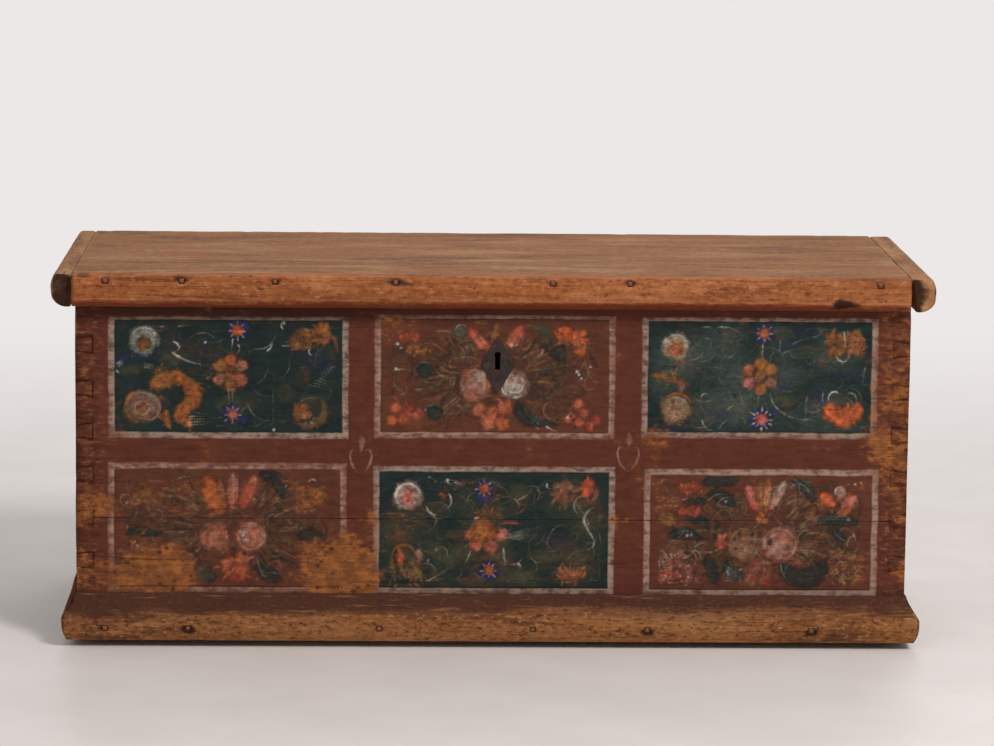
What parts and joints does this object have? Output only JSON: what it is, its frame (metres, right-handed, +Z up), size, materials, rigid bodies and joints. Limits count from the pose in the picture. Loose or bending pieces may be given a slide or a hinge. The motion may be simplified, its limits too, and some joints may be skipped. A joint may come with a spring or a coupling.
{
  "type": "painted blanket chest",
  "caption": "Dovetailed pine blanket chest with painted flower panels, moulded plinth, overhanging hinged lid, strap hinges and an inside chest lock with a sliding bolt.",
  "frame": {"origin": "on the floor, under the middle of the whole chest's box", "axes": "+X along the chest to the right, +Y from the front to the back, +Z up"},
  "size_m": [1.246, 0.5448, 0.5353],
  "materials": {
    "painted_pine": "old red-brown paint with dark green panels, worn through on the edges",
    "worn_pine": "pine with most of its paint worn off, waxed",
    "raw_pine": "bare aged pine",
    "forged_iron": "dark forged iron"
  },
  "bodies": {
    "case": {"front_board_upper": "painted_pine", "front_board_lower": "painted_pine", "left_end_upper": "painted_pine", "left_end_lower": "painted_pine", "right_end_upper": "painted_pine", "right_end_lower": "painted_pine", "plinth_front": "worn_pine", "plinth_left": "worn_pine", "plinth_right": "worn_pine", "back_board_upper": "raw_pine", "back_board_lower": "raw_pine", "bottom_board_front": "raw_pine", "bottom_board_middle": "raw_pine", "bottom_board_rear": "raw_pine", "runner_left": "raw_pine", "runner_right": "raw_pine", "lock_escutcheon": "forged_iron", "lock_plate": "forged_iron", "lock_cover": "forged_iron", "bolt_keepers": "forged_iron", "bolt_spring": "forged_iron", "hinge_left_back_strap": "forged_iron", "hinge_right_back_strap": "forged_iron", "hinge_left_pin": "forged_iron", "hinge_right_pin": "forged_iron", "plinth_nails": "forged_iron", "bottom_nails": "forged_iron", "runner_nails": "forged_iron", "hinge_back_nails": "forged_iron", "lock_nails": "forged_iron", "escutcheon_nails": "forged_iron"},
    "lid": {"lid_plank_front": "worn_pine", "lid_plank_rear": "worn_pine", "lid_lip": "worn_pine", "lid_cleat_left": "worn_pine", "lid_cleat_right": "worn_pine", "hinge_left_lid_strap": "forged_iron", "hinge_right_lid_strap": "forged_iron", "hinge_lid_nails": "forged_iron", "lip_nails": "forged_iron", "cleat_nails": "forged_iron", "lid_staple": "forged_iron", "staple_nails": "forged_iron"},
    "bolt": {"lock_bolt": "forged_iron"}
  },
  "joints": [
    {"name": "lid_hinge", "type": "hinge", "parent": "case", "child": "lid", "pos_m": [0, 0.26615, 0.5031], "axis": [-1, 0, 0], "range_deg": [0, 100]},
    {"name": "bolt_slide", "type": "slide", "parent": "case", "child": "bolt", "axis": [-1, 0, 0], "range_m": [0, 0.016]}
  ]
}
